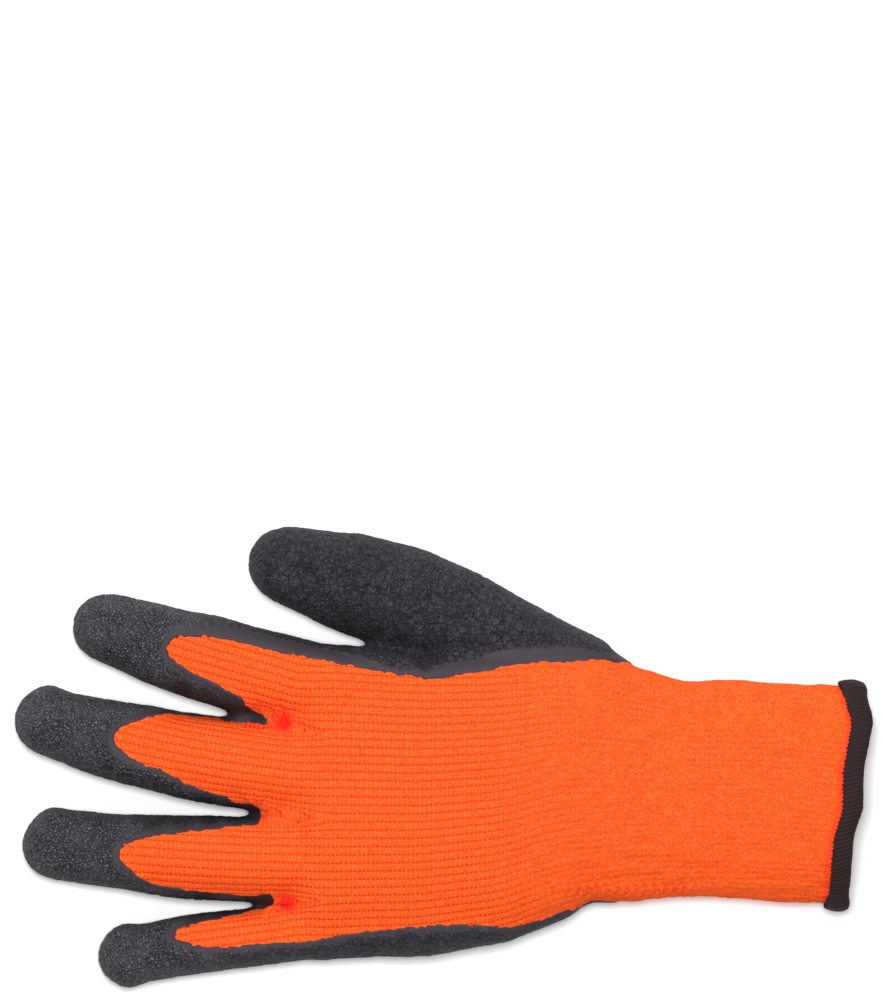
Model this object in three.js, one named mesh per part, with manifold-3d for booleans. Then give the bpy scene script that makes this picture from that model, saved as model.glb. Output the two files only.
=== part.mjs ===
import * as THREE from "three";
import { mergeVertices } from "three/addons/utils/BufferGeometryUtils.js";
import Module from "manifold-3d";

// Left-hand work glove: a seamless knitted liner dipped in crinkled latex, lying palm down.
// Millimetres. +X runs from the fingertips to the cuff, +Y to the thumb side and +Z up.
// The hand is drawn from the middle of the wrist, then moved so that the origin is the middle
// of the whole glove, on the surface that it lies on.

// Walls and clearances
const linerWall = 2.2;
const coatThickness = 1;
const clearance = 0.3;

// Hand, from the finger roots to the wrist. Its knit starts to narrow towards the wrist at heelAlong,
// a share of its length.
const palmLength = 122;
const palmWidth = 95;
const palmThickness = 31;
const heelAlong = 0.7;

// Cuff, and the overlocked hem around its mouth
const cuffLength = 56;
const cuffWidth = 66.5;
const cuffThickness = 25;
const cuffBend = 5;
const hemLength = 6.5;
const hemProud = 1.2;
const hemGrip = 4.5;

// Digits. The root is where a digit starts inside the hand. rootAlong: share of the hand's length from
// the finger roots; rootSide: share of the hand's width from the middle of the wrist. Heading and bend
// are degrees away from straight ahead, positive towards the thumb side. The swell is added to the
// width between root and tip, most at swellAt. The digit's own tube starts at seamAt.
const digits = {
  index_finger: {
    rootAlong: 0.1803, rootSide: 0.3056, length: 84.2, heading: 11.6, bend: 8.3,
    rootWidth: 23.4, tipWidth: 16.6, swell: 3.3, swellAt: 0.5,
    rootThickness: 24, tipThickness: 16, seamAt: 0.33,
  },
  middle_finger: {
    rootAlong: 0.1803, rootSide: 0.0442, length: 101.5, heading: 3.6, bend: 14,
    rootWidth: 27, tipWidth: 16.2, swell: 1.1, swellAt: 0.5,
    rootThickness: 25, tipThickness: 16.5, seamAt: 0.28,
  },
  ring_finger: {
    rootAlong: 0.1803, rootSide: -0.2285, length: 97.5, heading: -1, bend: 8.5,
    rootWidth: 25.4, tipWidth: 17, swell: 0.2, swellAt: 0.5,
    rootThickness: 24, tipThickness: 16, seamAt: 0.29,
  },
  little_finger: {
    rootAlong: 0.1803, rootSide: -0.44, length: 74.8, heading: -5.7, bend: -5,
    rootWidth: 14.8, tipWidth: 13.6, swell: 0.2, swellAt: 0.5,
    rootThickness: 20, tipThickness: 14, seamAt: 0.38,
  },
  thumb: {
    rootAlong: 0.775, rootSide: 0.342, length: 108.5, heading: 29, bend: -17,
    rootWidth: 24, tipWidth: 19.6, swell: 8.5, swellAt: 0.58,
    rootThickness: 20, tipThickness: 17, seamAt: 0.635,
  },
};

// Cross-sections of the hand. along: share of the hand's length from the finger roots;
// width, side: share of its width; thick: share of its thickness; narrowing: 0 hand, 1 cuff.
const palmSections = [
  { along: 0.0, width: 0.9, side: -0.047, thick: 0.5, narrowing: 0 },
  { along: 0.115, width: 0.984, side: -0.045, thick: 0.8, narrowing: 0 },
  { along: 0.245, width: 0.962, side: -0.042, thick: 0.9, narrowing: 0 },
  { along: 0.37, width: 0.942, side: -0.047, thick: 0.97, narrowing: 0 },
  { along: 0.574, width: 0.9, side: -0.025, thick: 1.0, narrowing: 0 },
  { along: 0.705, width: 0.85, side: 0.015, thick: 0.98, narrowing: 0.05 },
  { along: 0.8, width: 0.825, side: 0.043, thick: 0.96, narrowing: 0.27 },
  { along: 0.9, width: 0.85, side: 0.016, thick: 0.96, narrowing: 0.65 },
  { along: 1.0, width: 0.85, side: 0.0, thick: 0.96, narrowing: 1 },
];

// Bare knit left by the dip on the back of each finger. along: share of the finger's length;
// thumbward, littleward: how far the bare knit reaches to each side, as a share of half its width.
const bareFingers = {
  index_finger: [
    { along: 0, thumbward: 0.68, littleward: 0.96 },
    { along: 0.31, thumbward: 0.72, littleward: 0.85 },
    { along: 0.4, thumbward: 0.72, littleward: 0.64 },
    { along: 0.57, thumbward: 0.6, littleward: 0.44 },
    { along: 0.65, thumbward: 0.38, littleward: 0.22 },
    { along: 0.675, thumbward: 0.12, littleward: 0.02 },
  ],
  middle_finger: [
    { along: 0, thumbward: 1.4, littleward: 1 },
    { along: 0.32, thumbward: 1.4, littleward: 0.91 },
    { along: 0.47, thumbward: 1.3, littleward: 0.76 },
    { along: 0.54, thumbward: 1.15, littleward: 0.5 },
    { along: 0.61, thumbward: 0.95, littleward: 0.5 },
    { along: 0.68, thumbward: 0.6, littleward: 0.24 },
    { along: 0.71, thumbward: 0.25, littleward: 0 },
  ],
  ring_finger: [
    { along: 0, thumbward: 1, littleward: 1 },
    { along: 0.33, thumbward: 0.95, littleward: 0.98 },
    { along: 0.55, thumbward: 0.7, littleward: 0.92 },
    { along: 0.63, thumbward: 0.58, littleward: 0.8 },
    { along: 0.69, thumbward: 0.34, littleward: 0.32 },
    { along: 0.71, thumbward: 0.12, littleward: 0.06 },
  ],
  little_finger: [
    { along: 0, thumbward: 1.1, littleward: 0.28 },
    { along: 0.39, thumbward: 1.12, littleward: 0.34 },
    { along: 0.48, thumbward: 1.08, littleward: 0.28 },
    { along: 0.58, thumbward: 0.97, littleward: 0.14 },
    { along: 0.67, thumbward: 0.88, littleward: -0.22 },
    { along: 0.7, thumbward: 0.7, littleward: -0.42 },
  ],
};

// Bare knit on the back of the hand. along: share of the hand's length from the finger roots;
// thumbward, littleward: distance of each edge from the wrist's middle line, as a share of its width.
const bareBack = [
  { along: 0.03, thumbward: 0.44, littleward: 0.5 },
  { along: 0.12, thumbward: 0.417, littleward: 0.48 },
  { along: 0.24, thumbward: 0.387, littleward: 0.455 },
  { along: 0.39, thumbward: 0.359, littleward: 0.435 },
  { along: 0.51, thumbward: 0.381, littleward: 0.433 },
  { along: 0.6, thumbward: 0.403, littleward: 0.441 },
  { along: 0.69, thumbward: 0.414, littleward: 0.411 },
  { along: 0.75, thumbward: 0.417, littleward: 0.38 },
  { along: 0.82, thumbward: 0.413, littleward: 0.42 },
  { along: 0.9, thumbward: 0.41, littleward: 0.5 },
];

// Webs between the fingers, where the dip comes up on the back. along, side: shares of the hand's
// length from the finger roots and of its width; reach: how far the coating comes around the web.
const coatedWebs = [
  { along: -0.016, side: 0.216, reach: 2.5 },
  { along: -0.037, side: -0.067, reach: 4 },
  { along: -0.016, side: -0.37, reach: 3.3 },
];

// The coating's rounded edge across the palm, before the wrist: shares of the hand's length
const coatEdgeThumb = 0.85;
const coatEdgeMiddle = 0.95;
const coatEdgeLittle = 0.79;

// Height of the coating's edge on the sides, as a share of the thickness there
const coatedHeight = 0.4;

// Shape of the cross-sections: superellipse powers above and below the widest level
const crownPower = 2.2;
const underPower = 2.9;
const widestLevel = 0.46;
const restSag = 0.05;

// Shape of the fingertips: how blunt the last ring is, and the share of the lost height under the tip
const tipBluntness = 0.35;
const tipLift = 0.33;

// Shape of the hem's section: how full its edges are, and how square its sides
const hemEdgeFullness = 0.1;
const hemSquareness = 0.7;

// Resolution
const handSides = 26;
const digitSides = 14;
const digitSteps = 5;
const tipSteps = 3;
const cuffSteps = 3;
const hemSteps = 3;
const edgeSteps = 6;
const webSides = 6;

// How far a digit's form starts behind its root
const rootDepth = 1;

// Extent of the solids that cut, past everything they cut
const beyond = 200;

// Points nearer than this are one point
const weldDistance = 0.0001;

const wasm = await Module();
wasm.setup();

/** Turns a closed geometry into a solid for joining and cutting. */
function solidFrom(geometry) {
  const plain = geometry.clone();
  plain.deleteAttribute("normal");
  plain.deleteAttribute("uv");
  const merged = mergeVertices(plain, weldDistance);
  const mesh = new wasm.Mesh({
    numProp: 3,
    vertProperties: new Float32Array(merged.attributes.position.array),
    triVerts: new Uint32Array(merged.index.array),
  });
  return new wasm.Manifold(mesh);
}

/** Turns a solid back into a geometry. */
function geometryFrom(solid) {
  const mesh = solid.getMesh();
  const geometry = new THREE.BufferGeometry();
  geometry.setAttribute("position", new THREE.BufferAttribute(mesh.vertProperties, 3));
  geometry.setIndex(new THREE.BufferAttribute(mesh.triVerts, 1));
  geometry.computeVertexNormals();
  return geometry;
}

/** Joins a list of solids into one. */
function join(solids) {
  return solids.reduce((joined, solid) => joined.add(solid));
}

/** Coordinate on a superellipse for a cosine or sine. */
function rounded(value, power) {
  return Math.sign(value) * Math.abs(value) ** (2 / power);
}

/** One closed ring of points around a station, flattened where it meets the surface below. */
function stationRing(station, sides) {
  const level = station.floor + station.thickness * widestLevel;
  const rise = station.thickness * (1 - widestLevel) + station.grow;
  const fall = station.thickness * (widestLevel + restSag) + station.grow;
  const halfWidth = station.width / 2 + station.grow;
  const sideways = new THREE.Vector3(-station.tangent.y, station.tangent.x, 0);
  const ring = [];
  for (let side = 0; side < sides; side += 1) {
    const angle = (2 * Math.PI * side) / sides;
    const upward = Math.sin(angle);
    const power = upward > 0 ? crownPower : underPower;
    const height = level + rounded(upward, power) * (upward > 0 ? rise : fall);
    const point = sideways.clone().multiplyScalar(rounded(Math.cos(angle), power) * halfWidth);
    point.x += station.x;
    point.y += station.y;
    point.z = Math.max(height, station.floor - station.grow);
    ring.push(point);
  }
  return ring;
}

/** Closed solid through a row of stations, from the first to the last. */
function loft(stations, sides) {
  const points = [];
  const faces = [];
  for (const station of stations) {
    points.push(...stationRing(station, sides));
  }
  for (let row = 0; row < stations.length - 1; row += 1) {
    for (let side = 0; side < sides; side += 1) {
      const next = (side + 1) % sides;
      const here = row * sides;
      const ahead = here + sides;
      faces.push(here + side, here + next, ahead + next);
      faces.push(here + side, ahead + next, ahead + side);
    }
  }
  const lastRow = (stations.length - 1) * sides;
  const startMiddle = points.length;
  points.push(middleOf(points.slice(0, sides)));
  points.push(middleOf(points.slice(lastRow, lastRow + sides)));
  for (let side = 0; side < sides; side += 1) {
    const next = (side + 1) % sides;
    faces.push(startMiddle, next, side);
    faces.push(startMiddle + 1, lastRow + side, lastRow + next);
  }
  const geometry = new THREE.BufferGeometry().setFromPoints(points);
  geometry.setIndex(faces);
  return solidFrom(geometry);
}

/** Mean of a list of points. */
function middleOf(points) {
  const sum = new THREE.Vector3();
  points.forEach((point) => sum.add(point));
  return sum.divideScalar(points.length);
}

/** Unit vector in plan for a heading in degrees away from straight ahead. */
function ahead(heading) {
  const angle = THREE.MathUtils.degToRad(heading);
  return new THREE.Vector2(-Math.cos(angle), Math.sin(angle));
}

/** Centreline of a digit in plan, from its root to its tip. */
function digitCurve(digit) {
  const root = new THREE.Vector2((digit.rootAlong - 1) * palmLength, digit.rootSide * palmWidth);
  const bendPoint = root.clone().addScaledVector(ahead(digit.heading), digit.length / 2);
  const tip = bendPoint.clone().addScaledVector(ahead(digit.heading + digit.bend), digit.length / 2);
  return new THREE.QuadraticBezierCurve(root, bendPoint, tip);
}

/** Width of a digit at a share of its length. */
function digitWidth(digit, share) {
  const taper = THREE.MathUtils.lerp(digit.rootWidth, digit.tipWidth, share);
  const skew = Math.log(0.5) / Math.log(digit.swellAt);
  return taper + digit.swell * Math.sin(Math.PI * share ** skew) ** 2;
}

/** Height of the knit above the surface that the glove lies on. */
function knitFloor() {
  return Math.max(coatThickness + clearance, hemProud);
}

/** Closed form of a digit, grown outwards by a distance, or inwards where it is negative. */
function digitForm(digit, grow) {
  const curve = digitCurve(digit);
  const tipLength = digit.tipWidth / 2;
  const bodyShare = 1 - tipLength / digit.length;
  const stations = [];
  const addStation = (share, past, size) => {
    const inside = Math.min(share, 1);
    const tangent = curve.getTangentAt(inside);
    const point = curve.getPointAt(inside).addScaledVector(tangent, past);
    const thickness = THREE.MathUtils.lerp(digit.rootThickness, digit.tipThickness, inside);
    const full = { width: digitWidth(digit, inside) + 2 * grow, thickness: thickness + 2 * grow };
    stations.push({
      x: point.x,
      y: point.y,
      tangent,
      width: full.width * size - 2 * grow,
      thickness: full.thickness * size - 2 * grow,
      floor: knitFloor() + (1 - size) * full.thickness * tipLift,
      grow,
    });
  };
  addStation(0, -rootDepth - grow, 1);
  for (let step = 1; step <= digitSteps; step += 1) {
    addStation((bodyShare * step) / digitSteps, 0, 1);
  }
  for (let step = 1; step <= tipSteps; step += 1) {
    const angle = ((Math.PI / 2) * step) / (tipSteps + tipBluntness);
    const along = (tipLength + grow) * Math.sin(angle);
    const share = Math.min(bodyShare + along / digit.length, 1);
    addStation(share, Math.max(along - tipLength, 0), Math.cos(angle));
  }
  return loft(stations, digitSides);
}

/** Stations of the hand, from the finger roots to the wrist. */
function palmStations(grow, pastWrist) {
  const stations = palmSections.map((section) => ({
    x: (section.along - 1) * palmLength,
    y: section.side * palmWidth,
    tangent: new THREE.Vector2(1, 0),
    width: THREE.MathUtils.lerp(section.width * palmWidth, cuffWidth, section.narrowing),
    thickness: THREE.MathUtils.lerp(section.thick * palmThickness, cuffThickness, section.narrowing),
    floor: knitFloor(),
    grow,
  }));
  stations[0].x -= grow;
  if (pastWrist > 0) {
    stations.push({ ...stations.at(-1), x: pastWrist });
  }
  return stations;
}

/** Centreline of the cuff in plan, from the wrist to its mouth. */
function cuffCurve() {
  const wrist = new THREE.Vector2(0, 0);
  const bendPoint = new THREE.Vector2(cuffLength / 2, 0);
  const mouth = bendPoint.clone().addScaledVector(ahead(cuffBend), -cuffLength / 2);
  return new THREE.QuadraticBezierCurve(wrist, bendPoint, mouth);
}

/** One station of the cuff at a distance from the wrist, also before it or past its mouth. */
function cuffStation(distance, grow) {
  const share = THREE.MathUtils.clamp(distance / cuffLength, 0, 1);
  const curve = cuffCurve();
  const tangent = curve.getTangentAt(share);
  const point = curve.getPointAt(share).addScaledVector(tangent, distance - share * cuffLength);
  return {
    x: point.x,
    y: point.y,
    tangent,
    width: cuffWidth,
    thickness: cuffThickness,
    floor: knitFloor(),
    grow,
  };
}

/** Closed form of the cuff between two distances from the wrist. */
function cuffForm(grow, from, to) {
  const stations = [];
  for (let step = 0; step <= cuffSteps; step += 1) {
    stations.push(cuffStation(THREE.MathUtils.lerp(from, to, step / cuffSteps), grow));
  }
  return loft(stations, handSides);
}

/** Whole hand with its digits as one closed form, up to the wrist or past it. */
function handForm(grow, pastWrist) {
  const forms = Object.values(digits).map((digit) => digitForm(digit, grow));
  forms.push(loft(palmStations(grow, pastWrist), handSides));
  return join(forms);
}

/** Part of a digit's form past its seam, with the form grown and the seam moved back by a distance. */
function digitPastSeam(name, grow, back) {
  const digit = digits[name];
  const curve = digitCurve(digit);
  const tangent = curve.getTangentAt(digit.seamAt);
  const seam = curve.getPointAt(digit.seamAt).addScaledVector(tangent, -back);
  const box = new THREE.BoxGeometry(beyond, beyond, beyond);
  box.translate(beyond / 2, 0, 0);
  box.rotateZ(tangent.angle());
  box.translate(seam.x, seam.y, 0);
  return digitForm(digit, grow).intersect(solidFrom(box));
}

/** Extruded block over an outline in plan, between two heights. */
function block(outline, bottom, top) {
  const geometry = new THREE.ExtrudeGeometry(new THREE.Shape(outline), {
    depth: top - bottom,
    bevelEnabled: false,
  });
  geometry.translate(0, 0, bottom);
  return solidFrom(geometry);
}

/** Block over the bare knit on the back of a finger. */
function bareFingerBlock(name) {
  const digit = digits[name];
  const curve = digitCurve(digit);
  const edgePoint = (along, reach) => {
    const tangent = curve.getTangentAt(along);
    const sideways = new THREE.Vector2(tangent.y, -tangent.x);
    const offset = (digitWidth(digit, along) / 2) * reach;
    return curve.getPointAt(along).addScaledVector(sideways, offset);
  };
  const thumbEdge = bareFingers[name].map((row) => edgePoint(row.along, row.thumbward));
  const littleEdge = bareFingers[name].map((row) => edgePoint(row.along, -row.littleward));
  const outline = [...thumbEdge, ...littleEdge.reverse()];
  const thickness = (digit.rootThickness + digit.tipThickness) / 2;
  return block(outline, knitFloor() + thickness * coatedHeight, beyond);
}

/** Block over the bare knit on the back of the hand. */
function bareBackBlock() {
  const atRow = (row, side) => new THREE.Vector2((row.along - 1) * palmLength, side * palmWidth);
  const thumbEdge = bareBack.map((row) => atRow(row, row.thumbward));
  const littleEdge = bareBack.map((row) => atRow(row, -row.littleward));
  const pastWrist = [new THREE.Vector2(beyond, beyond), new THREE.Vector2(beyond, -beyond)];
  const outline = [...thumbEdge, ...pastWrist, ...littleEdge.reverse()];
  return block(outline, knitFloor() + palmThickness * coatedHeight, beyond);
}

/** Post through a web between two fingers, as wide as the coating around it. */
function webPost(web) {
  const middle = new THREE.Vector2((web.along - 1) * palmLength, web.side * palmWidth);
  const outline = [];
  for (let side = 0; side < webSides; side += 1) {
    const angle = (2 * Math.PI * side) / webSides;
    outline.push(new THREE.Vector2(web.reach, 0).rotateAround(new THREE.Vector2(), angle).add(middle));
  }
  return block(outline, -beyond, beyond);
}

/** Block over all that was dipped, up to the rounded edge before the wrist. */
function dippedBlock() {
  const half = palmWidth / 2;
  const edge = new THREE.QuadraticBezierCurve(
    new THREE.Vector2((coatEdgeThumb - 1) * palmLength, half),
    new THREE.Vector2((2 * coatEdgeMiddle - (coatEdgeThumb + coatEdgeLittle) / 2 - 1) * palmLength, 0),
    new THREE.Vector2((coatEdgeLittle - 1) * palmLength, -half),
  );
  const outline = [
    new THREE.Vector2(edge.v0.x, beyond),
    ...edge.getPoints(edgeSteps),
    new THREE.Vector2(edge.v2.x, -beyond),
    new THREE.Vector2(-2 * beyond, -beyond),
    new THREE.Vector2(-2 * beyond, beyond),
  ];
  return block(outline, -beyond, beyond);
}

/** Half of space past a distance from the wrist, towards the cuff. */
function pastDistance(distance) {
  const box = new THREE.BoxGeometry(beyond, 2 * beyond, 2 * beyond);
  box.translate(distance + beyond / 2, 0, 0);
  return solidFrom(box);
}

/** Knitted hand up to its heel, without its digits: open towards the heel and each digit. */
function palmKnit(hollow) {
  let knit = handForm(0, 0).subtract(hollow).subtract(pastDistance((heelAlong - 1) * palmLength - clearance));
  for (const name of Object.keys(digits)) {
    knit = knit.subtract(digitPastSeam(name, clearance, clearance));
  }
  return knit;
}

/** Knitted tube that narrows from the heel of the hand to the wrist. */
function wristKnit(hollow) {
  return handForm(0, 0).subtract(hollow).intersect(pastDistance((heelAlong - 1) * palmLength));
}

/** Knitted tube of one digit, closed at its tip and clear of the digits before it. */
function digitKnit(name, hollow) {
  let knit = digitPastSeam(name, 0, 0).subtract(hollow);
  for (const neighbour of Object.keys(digits)) {
    if (neighbour === name) {
      break;
    }
    knit = knit.subtract(digitPastSeam(neighbour, clearance, clearance));
  }
  return knit;
}

/** Knitted tube of the cuff, with its far edge inside the hem. */
function cuffKnit() {
  const end = cuffLength - hemLength + hemGrip;
  const tube = cuffForm(0, clearance, end);
  return tube.subtract(cuffForm(-linerWall, -hemLength, cuffLength + hemLength));
}

/** Overlocked hem: a rounded band around the mouth that grips the cuff's edge from both sides. */
function cuffHem() {
  const profile = (inner) => {
    const stations = [];
    for (let step = 0; step <= hemSteps; step += 1) {
      const share = step / hemSteps;
      const around = THREE.MathUtils.lerp(hemEdgeFullness, 1 - hemEdgeFullness, share);
      const swell = Math.sin(Math.PI * around) ** hemSquareness;
      const depth = inner ? -linerWall - hemProud * swell : hemProud * swell;
      stations.push(cuffStation(cuffLength - hemLength * (1 - share), depth));
    }
    if (inner) {
      stations.unshift({ ...cuffStation(cuffLength - 2 * hemLength, stations[0].grow) });
      stations.push({ ...cuffStation(cuffLength + hemLength, stations.at(-1).grow) });
    }
    return loft(stations, handSides);
  };
  const band = profile(false).subtract(profile(true));
  const groove = cuffForm(clearance, 0, cuffLength - hemLength + hemGrip + clearance);
  const grooveCore = cuffForm(-linerWall - clearance, -hemLength, cuffLength + hemLength);
  return band.subtract(groove.subtract(grooveCore));
}

/** Largest part of a solid, without the crumbs that cutting leaves. */
function largestPart(solid) {
  return solid.decompose().reduce((best, part) => (part.volume() > best.volume() ? part : best));
}

/** Part of a coated form that the dip reached, outside the knit and off the bare back. */
function dipped(form, knitOutside) {
  const bare = Object.keys(bareFingers).map(bareFingerBlock);
  bare.push(bareBackBlock());
  const undipped = join(bare).subtract(join(coatedWebs.map(webPost)));
  return largestPart(form.subtract(knitOutside).intersect(dippedBlock()).subtract(undipped));
}

/** Coating over the palm and the sides of the hand, clear of the digits' coatings. */
function palmCoating(knitOutside) {
  let form = handForm(clearance + coatThickness, 0);
  for (const name of Object.keys(digits)) {
    form = form.subtract(digitPastSeam(name, 2 * clearance + coatThickness, clearance));
  }
  return dipped(form, knitOutside);
}

/** Coating of one digit from its seam to its tip, clear of the digits before it. */
function digitCoating(name, knitOutside) {
  let form = digitPastSeam(name, clearance + coatThickness, 0);
  for (const neighbour of Object.keys(digits)) {
    if (neighbour === name) {
      break;
    }
    form = form.subtract(digitPastSeam(neighbour, 2 * clearance + coatThickness, clearance));
  }
  return dipped(form, knitOutside);
}

/** Named mesh of a solid in a material. */
function piece(name, solid, material) {
  const mesh = new THREE.Mesh(geometryFrom(solid), material);
  mesh.name = name;
  return mesh;
}

/** Builds the glove and puts its origin in the middle, on the surface that it lies on. */
function buildGlove() {
  const knitYarn = new THREE.MeshStandardMaterial({ color: 0xff6a2a, roughness: 0.9, metalness: 0 });
  const hemYarn = new THREE.MeshStandardMaterial({ color: 0x3a2e30, roughness: 0.7, metalness: 0 });
  const latex = new THREE.MeshStandardMaterial({ color: 0x3a3a40, roughness: 0.55, metalness: 0 });
  const hollow = handForm(-linerWall, hemLength);
  const knitOutside = handForm(clearance, hemLength);
  const glove = new THREE.Group();
  glove.add(piece("palm_knit", palmKnit(hollow), knitYarn));
  glove.add(piece("wrist_knit", wristKnit(hollow), knitYarn));
  for (const name of Object.keys(digits)) {
    glove.add(piece(`${name}_knit`, digitKnit(name, hollow), knitYarn));
  }
  glove.add(piece("cuff_knit", cuffKnit(), knitYarn));
  glove.add(piece("cuff_hem", cuffHem(), hemYarn));
  glove.add(piece("palm_coating", palmCoating(knitOutside), latex));
  for (const name of Object.keys(digits)) {
    glove.add(piece(`${name}_coating`, digitCoating(name, knitOutside), latex));
  }
  const box = new THREE.Box3().setFromObject(glove);
  const middle = box.getCenter(new THREE.Vector3());
  glove.position.set(-middle.x, -middle.y, -box.min.z);
  return glove;
}

export default buildGlove();
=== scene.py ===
"""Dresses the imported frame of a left-hand work glove that lies palm down.

The knitted liner, its cuff and hem, and the crinkled latex over its palm side are grown from the
frame's own solids. Their outside is remeshed, smoothed and split where the latex ends, and then
knitted, folded or crinkled. Surfaces are in millimetres until they become objects, in metres.
"""

import logging
import math
from dataclasses import dataclass, field
from enum import Enum
from itertools import product

import bmesh
import bpy
import numpy as np
from mathutils import Matrix, Vector
from mathutils.bvhtree import BVHTree
from mathutils.kdtree import KDTree


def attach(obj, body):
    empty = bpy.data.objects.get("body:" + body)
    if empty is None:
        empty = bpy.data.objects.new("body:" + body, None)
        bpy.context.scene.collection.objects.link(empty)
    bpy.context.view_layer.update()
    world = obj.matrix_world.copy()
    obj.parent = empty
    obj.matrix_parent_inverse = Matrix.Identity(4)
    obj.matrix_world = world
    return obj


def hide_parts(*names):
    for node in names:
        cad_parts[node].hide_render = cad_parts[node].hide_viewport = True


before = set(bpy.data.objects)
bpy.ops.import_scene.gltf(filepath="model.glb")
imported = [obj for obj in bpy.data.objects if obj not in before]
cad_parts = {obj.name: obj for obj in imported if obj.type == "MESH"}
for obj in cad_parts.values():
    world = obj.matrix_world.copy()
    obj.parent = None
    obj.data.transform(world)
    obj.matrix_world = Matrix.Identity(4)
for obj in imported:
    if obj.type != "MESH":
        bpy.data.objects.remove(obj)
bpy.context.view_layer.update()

MILLIMETRE = 0.001
FULL_TURN = 2.0 * math.pi
TABLE_STEPS = 601
LOW_BITS = np.uint64(2**32 - 1)
SEED_PRIME, CELL_PRIME, LAST_PRIME = 2654435761, np.uint64(2246822519), np.uint64(3266489917)
CELL_SHIFT, LAST_SHIFT = np.uint64(15), np.uint64(13)
Colour = tuple[float, float, float]
log = logging.getLogger("glove")


class Slot(Enum):
    """Material slots of the record."""

    KNIT = "knit"
    HEM = "hem"
    COATING = "coating"


class Mark(Enum):
    """Numbers that a surface's points carry for its finish."""

    WALE = "wale"
    COURSE = "course"
    DIP = "dip"
    FUZZ = "fuzz"
    RED_SHADE = "red_shade"
    CRINKLE = "crinkle"
    WEAR_AND_SIDE_SHADE = "worn"
    PAINTED_SHADE = "painted_shade"
    THREAD = "thread"


def eased(values: np.ndarray, low: float, high: float) -> np.ndarray:
    """Smooth step from 0 at low to 1 at high."""
    share = np.clip((values - low) / (high - low), 0.0, 1.0)
    return share * share * (3.0 - 2.0 * share)


def scattered(cells: np.ndarray, seed: int) -> np.ndarray:
    """Even numbers from 0 to 1, one for each cell of whole numbers.

    Args:
        cells: Whole numbers, a row of coordinates for each cell.
        seed: Picks another set of numbers.

    Returns:
        One number for each row.
    """
    mixed = np.full(len(cells), seed * SEED_PRIME % 2**32, np.uint64)
    for axis in range(cells.shape[1]):
        mixed ^= cells[:, axis].astype(np.int64).astype(np.uint64) & LOW_BITS
        mixed = mixed * CELL_PRIME & LOW_BITS
        mixed ^= mixed >> CELL_SHIFT
    mixed = mixed * LAST_PRIME & LOW_BITS
    mixed ^= mixed >> LAST_SHIFT
    return mixed.astype(float) / 2.0**32


def noise(points: np.ndarray, size: float, seed: int) -> np.ndarray:
    """Smooth noise from 0 to 1 with lumps of a size.

    Args:
        points: Places in millimetres.
        size: Distance between lumps in millimetres.
        seed: Picks another noise.

    Returns:
        One number for each point.
    """
    scaled = points / size
    cell = np.floor(scaled)
    share = eased(scaled - cell, 0.0, 1.0)
    total = np.zeros(len(points))
    for corner in product((0, 1), repeat=3):
        weight = np.prod(np.where(corner, share, 1.0 - share), axis=1)
        total += weight * scattered(cell + corner, seed)
    return total


def uneven(points: np.ndarray, size: float, seed: int, height: float) -> np.ndarray:
    """Noise with lumps of a size, from half a height below 0 to half a height above."""
    return (noise(points, size, seed) - 0.5) * height


def ridges(points: np.ndarray, size: float, seed: int) -> np.ndarray:
    """Noise from 0 to 1 with sharp ridges, as wrinkled skin has."""
    return 1.0 - np.abs(2.0 * noise(points, size, seed) - 1.0)


def curved(at: np.ndarray, places: list[float], values: list[float], spread: float) -> np.ndarray:
    """Reads a table between its rows, with the corners rounded off.

    Args:
        at: Places to read it at.
        places: Places of its rows, rising.
        values: Value of each row.
        spread: Distance that a corner is rounded over to each side.

    Returns:
        The value at each place.
    """
    grid = np.linspace(places[0] - 2.0 * spread, places[-1] + 2.0 * spread, TABLE_STEPS)
    window = np.hanning(2 * round(spread / (grid[1] - grid[0])) + 1)
    padded = np.pad(np.interp(grid, places, values), len(window) // 2, mode="edge")
    return np.interp(at, grid, np.convolve(padded, window / window.sum(), mode="valid"))


def wave(turns: np.ndarray) -> np.ndarray:
    """Wave from 0 to 1, which is 1 where turns are whole."""
    return 0.5 + 0.5 * np.cos(FULL_TURN * turns)


def walked(line: np.ndarray) -> np.ndarray:
    """Distance along a line of points, from its first to each of them."""
    return np.concatenate([[0.0], np.cumsum(np.linalg.norm(np.diff(line, axis=0), axis=1))])


def leftward(ahead: np.ndarray, offset: np.ndarray) -> np.ndarray:
    """How far offsets lie to the left of a direction, both seen from above."""
    return ahead[..., 0] * offset[..., 1] - ahead[..., 1] * offset[..., 0]


def spots(points: np.ndarray, centres: np.ndarray, reach: float) -> np.ndarray:
    """1 at any of some places seen from above, falling to 0 past a reach."""
    away = np.linalg.norm(points[:, None, :2] - centres[None], axis=2).min(axis=1)
    return np.exp(-((away / reach) ** 2))


def gathered(meshes: list[bpy.types.Mesh]) -> tuple[list[Vector], list[tuple[int, ...]], list[int]]:
    """Joins meshes.

    Args:
        meshes: Meshes in metres.

    Returns:
        Their points, their faces, and the number of the mesh that each face is of.
    """
    points: list[Vector] = []
    faces: list[tuple[int, ...]] = []
    owner: list[int] = []
    for number, mesh in enumerate(meshes):
        start = len(points)
        points.extend(vertex.co.copy() for vertex in mesh.vertices)
        faces.extend(tuple(start + index for index in face.vertices) for face in mesh.polygons)
        owner.extend([number] * len(mesh.polygons))
    return points, faces, owner


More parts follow.
